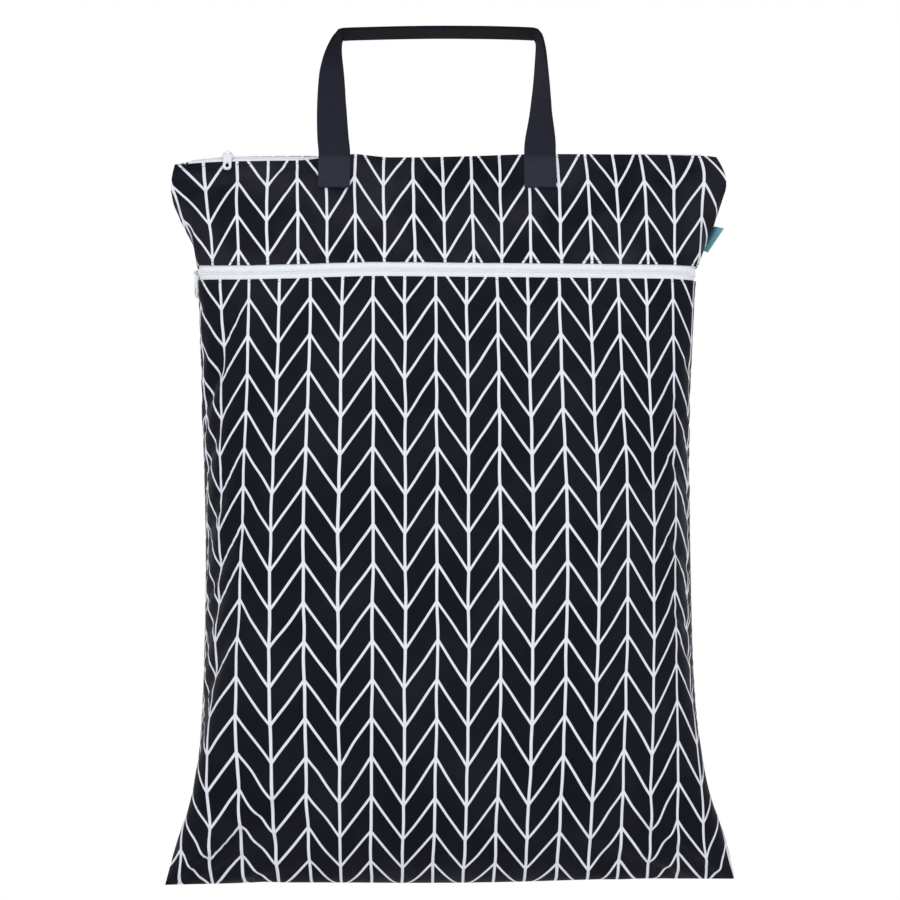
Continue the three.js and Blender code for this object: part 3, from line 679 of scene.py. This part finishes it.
# %% Beads along lines
def bead_tree():
    """The node tree, with its sizes as named inputs."""
    tree = bpy.data.node_groups.new("beads_along_lines", "GeometryNodeTree")
    kinds = {"Lines": "Geometry", "Pitch": "Float", "Length": "Float", "Width": "Float"}
    kinds |= {"Height": "Float", "Wobble": "Float", "Material": "Material"}
    for name, kind in kinds.items():
        tree.interface.new_socket(name=name, in_out="INPUT", socket_type="NodeSocket" + kind)
    tree.interface.new_socket(name="Beads", in_out="OUTPUT", socket_type="NodeSocketGeometry")

    def node(kind, settings, values):
        made = tree.nodes.new(kind)
        for key, value in settings.items():
            setattr(made, key, value)
        for key, value in values.items():
            if hasattr(value, "is_output"):
                tree.links.new(value, made.inputs[key])
            else:
                made.inputs[key].default_value = value
        return made.outputs

    given = node("NodeGroupInput", {}, {})
    lines = node("GeometryNodeMeshToCurve", {}, {"Mesh": given["Lines"]})
    values = {"Curve": lines["Curve"], "Length": given["Pitch"]}
    points = node("GeometryNodeCurveToPoints", {"mode": "LENGTH"}, values)
    out = node("GeometryNodeInputNamedAttribute", {"data_type": "FLOAT_VECTOR"}, {"Name": "out"})
    along = node("FunctionNodeAlignRotationToVector", {"axis": "X"}, {"Vector": points["Tangent"]})
    settings = {"axis": "Z", "pivot_axis": "X"}
    values = {"Rotation": along[0], "Vector": out["Attribute"]}
    facing = node("FunctionNodeAlignRotationToVector", settings, values)
    minus = node("ShaderNodeMath", {"operation": "MULTIPLY"}, {0: given["Wobble"], 1: -1.0})
    values = {2: minus[0], 3: given["Wobble"], "Seed": 7}
    chance = node("FunctionNodeRandomValue", {"data_type": "FLOAT"}, values)
    turn = node("ShaderNodeCombineXYZ", {}, {"Z": chance[1]})
    values = {0: facing[0], 1: node("FunctionNodeEulerToRotation", {}, {0: turn[0]})[0]}
    turned = node("FunctionNodeRotateRotation", {"rotation_space": "LOCAL"}, values)
    ball = node("GeometryNodeMeshUVSphere", {}, {"Segments": 8, "Rings": 5, "Radius": 0.5})
    size = {"X": given["Length"], "Y": given["Width"], "Z": given["Height"]}
    values = {"Points": points["Points"], "Instance": ball["Mesh"], "Rotation": turned[0]}
    values["Scale"] = node("ShaderNodeCombineXYZ", {}, size)[0]
    beads = node("GeometryNodeInstanceOnPoints", {}, values)
    real = node("GeometryNodeRealizeInstances", {}, {"Geometry": beads[0]})
    smooth = node("GeometryNodeSetShadeSmooth", {}, {"Geometry": real[0]})
    values = {"Geometry": smooth[0], "Material": given["Material"]}
    finished = node("GeometryNodeSetMaterial", {}, values)
    node("NodeGroupOutput", {}, {0: finished[0]})
    return tree


BEADS = bead_tree()


def beads(name, lines, material, **sizes):
    """Beads along some lines, each a pair of points and outward directions, as one mesh."""
    points = np.concatenate([line[0] for line in lines])
    outs = np.concatenate([line[1] for line in lines])
    edges, start = [], 0
    for line, _ in lines:
        edges += [(start + k, start + k + 1) for k in range(len(line) - 1)]
        start += len(line)
    mesh = bpy.data.meshes.new(name + "_lines")
    mesh.from_pydata(points.tolist(), edges, [])
    facing = mesh.attributes.new("out", "FLOAT_VECTOR", "POINT")
    facing.data.foreach_set("vector", outs.astype(np.float32).ravel())
    guide = bpy.data.objects.new(name + "_lines", mesh)
    bpy.context.collection.objects.link(guide)
    modifier = guide.modifiers.new("beads", "NODES")
    modifier.node_group = BEADS
    sockets = {item.name: item.identifier for item in BEADS.interface.items_tree}
    for key, value in {**sizes, "Material": material}.items():
        modifier[sockets[key]] = value
    evaluated = guide.evaluated_get(bpy.context.evaluated_depsgraph_get())
    made = bpy.data.objects.new(name, bpy.data.meshes.new_from_object(evaluated))
    bpy.context.collection.objects.link(made)
    bpy.data.objects.remove(guide)
    print(name, len(made.data.polygons), "faces")
    return made


def zip_row(offset, lift, start=0.0, reach=0.97):
    """A line along the front zip, offset metres below it and lift out of the cloth's face."""
    u = np.linspace(-reach, reach, 161) + start
    v = zip_place(u, offset)
    out = outward(front, u, v)
    return read_cloth(front, u, v) + out * lift, out


def mouth_row(share, lift, start=0.0):
    """The same along the top zip."""
    u = np.linspace(-0.94, 0.94, 161) + start
    line = mouth(u, np.full_like(u, share), lift)
    return line, np.broadcast_to((0.0, 0.0, 1.0), line.shape)


coil_finish = Finish("zip_coil_white", 0.45, 0.4)
coil_finish.colour((0.93, 0.95, 0.98, 1))
teeth = {"Pitch": 1.3 * mm, "Length": 0.85 * mm, "Width": 2.4 * mm, "Height": 1.0 * mm}
teeth["Wobble"] = 0.05
half_tooth = teeth["Pitch"] / CUT_WIDTH  # half a pitch, as the cut is 2 wide in these steps
lines = [zip_row(-0.95 * mm, -1.1 * mm), zip_row(0.95 * mm, -1.1 * mm, half_tooth)]
pocket_coil = beads("pocket_teeth", lines, coil_finish.material, **teeth)
lines = [mouth_row(-0.14, 0.7 * mm), mouth_row(0.14, 0.7 * mm, half_tooth)]
top_coil = beads("top_teeth", lines, coil_finish.material, **teeth)

# %% [markdown]
# # The handle
# The handle is one length of webbing: up from the left end, round over the grip and down to the
# right. As it rises it turns edge-on, because the grip lies flat on what it hangs from. The path is
# the CAD strap's own, as a short table: the place of its centre line and the turn of its flat
# side, 0 to the front on the left, 90 on the grip and 180 on the right. Where the ends are sewn on,
# the strap is laid on the swollen cloth.

# %% The handle
STRAP_PATH = np.array([  # x, y, z in mm, turn in degrees
    (-81.6, -18.6, -118.5, 0), (-81.6, -12.5, -101.4, 0), (-81.6, -10.0, -90.0, 0),
    (-82.6, -8.6, -80.0, 8), (-83.2, -7.4, -70.4, 14), (-83.6, -6.2, -60.0, 20),
    (-83.9, -5.0, -49.0, 27), (-83.9, -3.6, -37.0, 34), (-83.7, -2.5, -27.0, 41),
    (-82.9, -1.5, -17.0, 52), (-81.9, -0.7, -10.0, 61.5), (-80.6, -0.2, -4.0, 71),
    (-79.3, 0.0, -0.4, 79), (-77.6, 0.0, 2.2, 86), (-74.6, 0.0, 3.6, 90),
    (-52.0, 0.0, 4.4, 90), (-26.0, 0.0, 5.0, 90), (0.0, 0.0, 5.3, 90), (26.0, 0.0, 5.2, 90),
    (52.0, 0.0, 4.8, 90), (74.6, 0.0, 3.9, 90), (78.2, 0.0, 2.4, 93), (80.0, 0.0, -0.6, 98),
    (80.8, -0.3, -5.0, 103), (81.2, -0.8, -11.0, 108), (81.4, -1.7, -20.0, 113),
    (81.5, -2.8, -30.0, 118), (81.5, -3.8, -38.0, 122), (81.3, -5.0, -49.0, 128),
    (81.0, -6.2, -60.0, 135), (80.8, -7.4, -70.4, 147), (80.6, -8.6, -80.0, 163),
    (80.4, -10.0, -90.0, 180), (80.4, -12.5, -101.4, 180), (80.4, -18.6, -118.5, 180),
])  # fmt: skip
STRAP_WIDTH = 25 * mm
STRAP_THICKNESS = 2 * mm
GRIP_TILT = -0.345  # the rear edge of the grip lies lower than the front one


def smooth_path(rows, count):
    """A table of rows read smoothly at even steps of length."""
    padded = np.pad(rows, ((1, 1), (0, 0)), mode="reflect", reflect_type="odd")
    t = np.linspace(0, len(rows) - 1, 40 * len(rows))
    i = np.minimum(t.astype(int), len(rows) - 2)
    fine = sum(w[:, None] * padded[i + k] for k, w in enumerate(curve_weights(t - i)))
    lengths = np.concatenate([[0], np.cumsum(np.linalg.norm(np.diff(fine[:, :3], axis=0), axis=1))])
    steps = np.linspace(0, lengths[-1], count)
    return np.stack([np.interp(steps, lengths, column) for column in fine.T], -1), steps


def tree_of(piece):
    points = [vertex.co.copy() for vertex in piece.data.vertices]
    return BVHTree.FromPolygons(points, [list(polygon.vertices) for polygon in piece.data.polygons])


path, strap_length = smooth_path(STRAP_PATH, 240)
centre, turn = path[:, :3] * mm, np.radians(path[:, 3])
strap_length = strap_length * mm
upper_tree = tree_of(upper)
sewn_on = centre[:, 2] < -90 * mm
for k in np.flatnonzero(sewn_on):
    places = [centre[k, 0] + s * STRAP_WIDTH / 2 for s in (-1, -0.5, 0, 0.5, 1)]
    sides = [touch(upper_tree, x, centre[k, 2], -1) for x in places]
    fronts = [y for y in sides if y is not None]
    if fronts:
        centre[k, 1] = min(min(fronts) - STRAP_THICKNESS / 2 - 0.3 * mm, -9 * mm)
weights = np.hanning(15) / np.hanning(15).sum()
padded_y = np.pad(centre[:, 1], 7, mode="reflect", reflect_type="odd")
centre[:, 1] = np.convolve(padded_y, weights, "valid")
tilt = GRIP_TILT * np.maximum(np.sin(turn), 0) ** 6
strap_across = np.stack([np.cos(turn), np.sin(turn), tilt], -1)
along = np.gradient(centre, axis=0)
along /= np.linalg.norm(along, axis=1, keepdims=True)
strap_across -= along * np.einsum("ij,ij->i", strap_across, along)[:, None]
strap_across /= np.linalg.norm(strap_across, axis=1, keepdims=True)
strap_face = np.cross(along, strap_across)
w = np.linspace(-1, 1, 17)
half_w = STRAP_WIDTH / 2
half_t = STRAP_THICKNESS / 2 * (1 - np.abs(w) ** 14) ** 0.5 * 0.85 + 0.15 * STRAP_THICKNESS / 2
middle = centre[:, None] + strap_across[:, None] * (w * half_w)[None, :, None]
lift = strap_face[:, None] * half_t[None, :, None]
flat = np.stack(np.broadcast_arrays(w[None] * half_w, strap_length[:, None]), -1)
strap = closed_sheet("webbing_handle", middle + lift, middle - lift, flat)
print("webbing", round(strap_length[-1] / mm), "mm long")

# %% [markdown]
# # Webbing
# Polyester webbing is woven with a herringbone face: small slanting floats that turn at the
# middle of each rib. The weave is far finer than a pixel of the photograph, so it is colour and
# bump from two sine waves in the webbing's own flat coordinates. The grip lies in its own shade,
# so it is painted darker with painted shade, and the sewn ends, pressed flat by their stitches,
# catch more light, so they are painted lighter with a painted highlight.


# %% Webbing
def webbing_finish(name, dark, light):
    finish = Finish(name, 0.75, 0.1)
    place, w, s = finish.flat_place()
    ribs = (w * (math.pi / (1.6 * mm))).math("SINE").math("ABSOLUTE")
    slant = (w / (1.6 * mm)).math("PINGPONG", 1.0) * 1.3
    floats = (s * (math.tau / (1.5 * mm)) + slant * 3.0).math("SINE") * 0.5 + 0.5
    wear = finish.noise(place, 300.0)
    tone = (floats * 0.45 + ribs * 0.25 + wear * 0.3).clamped()
    half_length = float(strap_length[-1]) / 2
    from_middle = (s - half_length).math("ABSOLUTE") / half_length
    # painted shade darkens the grip, and a painted highlight lightens the sewn ends
    grip = ((0.52 - from_middle) / 0.1).clamped()
    sewn = ((from_middle - 0.865) / 0.02).clamped()
    tone = tone * (1.0 - grip * 0.7) + sewn * 0.45
    finish.colour(finish.blend(tone, dark, light))
    finish.bump(floats + ribs * 0.6, 0.12 * mm)
    return finish.material


WEBBING_DARK = (0.003, 0.0033, 0.007, 1)
WEBBING_LIGHT = (0.030, 0.032, 0.048, 1)
strap.data.materials.append(webbing_finish("webbing_black", WEBBING_DARK, WEBBING_LIGHT))

# %% [markdown]
# # Stitches
# The handle is sewn on with a box and a cross, the usual bar-tack for a load, and the cloth edges
# along the zips and the seams are top-stitched. Thread is a bead again, longer and thinner than
# a zip tooth, in a slightly lighter black than the cloth, as the real thread shows.

# %% Stitches
thread_finish = Finish("thread_black", 0.55, 0.35)
thread_finish.colour((0.008, 0.0085, 0.014, 1))
stitch = {"Pitch": 3.2 * mm, "Length": 2.4 * mm, "Width": 0.4 * mm, "Height": 0.4 * mm}
stitch["Wobble"] = 0.06


def straight(start, end, out, steps=24):
    """A line of points between two places, with one outward direction each."""
    share = np.linspace(0, 1, steps)[:, None]
    return start + (end - start) * share, np.broadcast_to(out, (steps, 3))


def patch_lines(first, last):
    """A box and a cross on a sewn end of the strap, between two of its stations."""
    inset = 3 * mm

    def corner(k, side):
        return centre[k] + strap_across[k] * side * (half_w - inset) + out * (STRAP_THICKNESS / 2)

    facing = strap_face[(first + last) // 2]
    out = facing if facing[1] < 0 else -facing
    a, b, c, d = corner(first, -1), corner(first, 1), corner(last, 1), corner(last, -1)
    return [straight(p, q, out) for p, q in ((a, b), (b, c), (c, d), (d, a), (a, c), (b, d))]


step_length = strap_length[1]
inset_steps = int(round(3 * mm / step_length))
patch_steps = int(round(22 * mm / step_length))
lines = patch_lines(inset_steps, patch_steps)
lines += patch_lines(len(centre) - 1 - inset_steps, len(centre) - 1 - patch_steps)
strap_stitches = beads("handle_stitches", lines, thread_finish.material, **stitch)


def cloth_line(grid, u, v, lift=0.15 * mm):
    """A line on the cloth's face at flat places."""
    out = outward(grid, u, v)
    return read_cloth(grid, u, v) + out * lift, out


u = np.linspace(-0.985, 0.985, 200)
edge = 2.2 * mm
lines = [cloth_line(front, u, zip_place(u, side * (ZIP_OPENING / 2 + edge))) for side in (-1, 1)]
lines += [cloth_line(grid, u, np.full_like(u, 0.0045)) for grid in (front, back)]
cloth_stitches = beads("cloth_stitches", lines, thread_finish.material, **stitch)

# %% [markdown]
# # The tag
# The tag is a short folded ribbon caught in the right seam, and it is left blank. Its two layers
# meet at the fold with a small round edge, and it leans down a little. It is made as a closed
# sheet that is thickest at the fold and bends slightly towards the front.

# %% The tag
low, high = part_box("side_tag")
share_out, share_down = np.meshgrid(np.linspace(0, 1, 15), np.linspace(0, 1, 13))
seam_at_top = np.interp(high.z, side_seams[1][:, 1], side_seams[1][:, 0])
seam_at_low = np.interp(low.z, side_seams[1][:, 1], side_seams[1][:, 0])
root = seam_at_top + (seam_at_low - seam_at_top) * share_down + 0.6 * mm
reach = (high.x - seam_at_top - 0.8 * mm) * (1 - 0.5 * share_down)
x = root + reach * share_out
z = high.z + (low.z + 1.6 * mm - high.z) * share_down - share_out * 1.6 * mm
y = -1.4 * mm * np.sin(math.pi * share_out * 0.8) * (1 - 0.4 * share_down)
fold = np.exp(-(((share_out - 0.86) / 0.12) ** 2))
half = (0.35 + 0.4 * fold) * mm * np.sqrt(1 - share_out**16 * 0.95)
face = np.stack([x, y - half, z], -1)
behind = np.stack([x, y + half, z], -1)
flat = np.stack([share_out * 9 * mm, share_down * 19 * mm], -1)
ribbon = closed_sheet("ribbon_tag", face, behind, flat)
ribbon_finish = Finish("ribbon_teal", 0.5, 0.4)
_, w, s = ribbon_finish.flat_place()
ribs = (s * (math.tau / (0.7 * mm))).math("SINE") * 0.5 + 0.5
# painted shade: the tag is painted darker where it goes into the seam between the panels
seam_shade = (1.0 - w / (4.0 * mm)).clamped()
teal = ribbon_finish.blend((s / (19 * mm)).clamped(), (0.15, 0.41, 0.52, 1), (0.11, 0.40, 0.38, 1))
ribbon_finish.colour(ribbon_finish.blend(seam_shade, teal, (0.02, 0.09, 0.12, 1)))
ribbon_finish.bump(ribs, 0.06 * mm)
ribbon.data.materials.append(ribbon_finish.material)
print("tag", [round(value / mm, 1) for value in (x.min(), x.max(), z.min(), z.max())])

# %% [markdown]
# # Sliders and pulls
# The sliders and the pulls are hard cast parts whose shape in the frame is right, and the pulls
# swing on hinges, so the CAD nodes stay. They get white enamel: smooth, with a faint unevenness.

# %% Sliders and pulls
enamel = Finish("slider_enamel", 0.28, 0.5)
position = enamel.node("ShaderNodeTexCoord", {}, {}, output=3)
tone = enamel.noise(position, 160.0)
enamel.colour(enamel.blend(tone, (0.78, 0.80, 0.84, 1), (0.90, 0.91, 0.93, 1)))
for name in ("pocket_zip_slider", "pocket_zip_pull", "top_zip_slider", "top_zip_pull"):
    nodes[name].data.materials.clear()
    nodes[name].data.materials.append(enamel.material)

# %% [markdown]
# # Bodies, nodes and cloth
# Every piece made here is one body, the bag. Each soft CAD solid is replaced by the piece that
# stands for it, and the table gives the size that each cloth panel was cut to: the back is the
# whole cut, and the front is the same cut less the zip's opening.

# %% Bodies, nodes and cloth
zip_level = float(zip_place(np.array([0.0]))[0])
upper_length = zip_level * CUT_LENGTH - 6 * mm
pocket_length = (1 - zip_level) * CUT_LENGTH - 6 * mm
SEWN = (
    (upper, "upper_panel", "printed_cloth", (CUT_WIDTH, upper_length), [cloth_stitches]),
    (pocket, "pocket_panel", "printed_cloth", (CUT_WIDTH, pocket_length), []),
    (rear, "back_panel", "printed_cloth", (CUT_WIDTH, CUT_LENGTH), []),
    (pocket_tape, "pocket_zip_tape", "zip_tape", None, []),
    (top_tape, "top_zip_tape", "zip_tape", None, []),
    (pocket_coil, "pocket_zip_coil", "zip_coil", None, []),
    (top_coil, "top_zip_coil", "zip_coil", None, []),
    (strap, "handle_strap", "webbing", None, []),
    (ribbon, "side_tag", "tag_ribbon", None, []),
    (strap_stitches, None, "webbing", None, []),
    (cloth_stitches, None, "printed_cloth", None, []),
)
for piece, node, slot, flat_size, with_pieces in SEWN:
    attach(piece, "bag")
    if node:
        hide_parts(node)

# %% [markdown]
# # Floor, backdrop and light
# The photograph has a pure white ground and very soft light from all round, a little stronger
# from the upper left and weaker from below. A white world gives the even part, two large soft
# lights the rest. The backdrop shines by itself, so that it stays white behind the dark cloth. It
# stands further off than the camera, so that the bag can be looked at from behind as well.


# %% Floor, backdrop and light
def plain_sheet(name, corners, strength, tone):
    mesh = bpy.data.meshes.new(name)
    mesh.from_pydata(corners, [], [tuple(range(len(corners)))])
    finish = Finish(name + "_finish", 0.9, 0.1)
    finish.surface.inputs["Base Color"].default_value = (tone, tone, tone, 1)
    finish.surface.inputs["Emission Color"].default_value = (1, 1, 1, 1)
    finish.surface.inputs["Emission Strength"].default_value = strength
    mesh.materials.append(finish.material)
    made = bpy.data.objects.new(name, mesh)
    bpy.context.collection.objects.link(made)
    return made


plain_sheet("floor", [(-4, -5, -1.0), (4, -5, -1.0), (4, 2, -1.0), (-4, 2, -1.0)], 0.0, 0.85)
plain_sheet("backdrop", [(-10, 5, -2.6), (10, 5, -2.6), (10, 5, 10), (-10, 5, 10)], 1.0, 0.0)
world = bpy.data.worlds.new("studio")
world.use_nodes = True
bpy.context.scene.world = world
world.node_tree.nodes["Background"].inputs["Color"].default_value = (0.95, 0.97, 1.0, 1)
world.node_tree.nodes["Background"].inputs["Strength"].default_value = 0.62


def soft_light(name, place, size, power):
    light = bpy.data.lights.new(name, "AREA")
    light.size, light.energy = size, power
    lamp = bpy.data.objects.new(name, light)
    bpy.context.collection.objects.link(lamp)
    lamp.location = place
    lamp.rotation_euler = (AIM - lamp.location).to_track_quat("-Z", "Y").to_euler()
    return lamp


soft_light("key", Vector((-1.1, -2.2, 1.3)), 1.6, 26)
soft_light("fill", Vector((1.6, -2.4, 0.2)), 1.8, 14)
bpy.context.scene.view_settings.view_transform = "Standard"
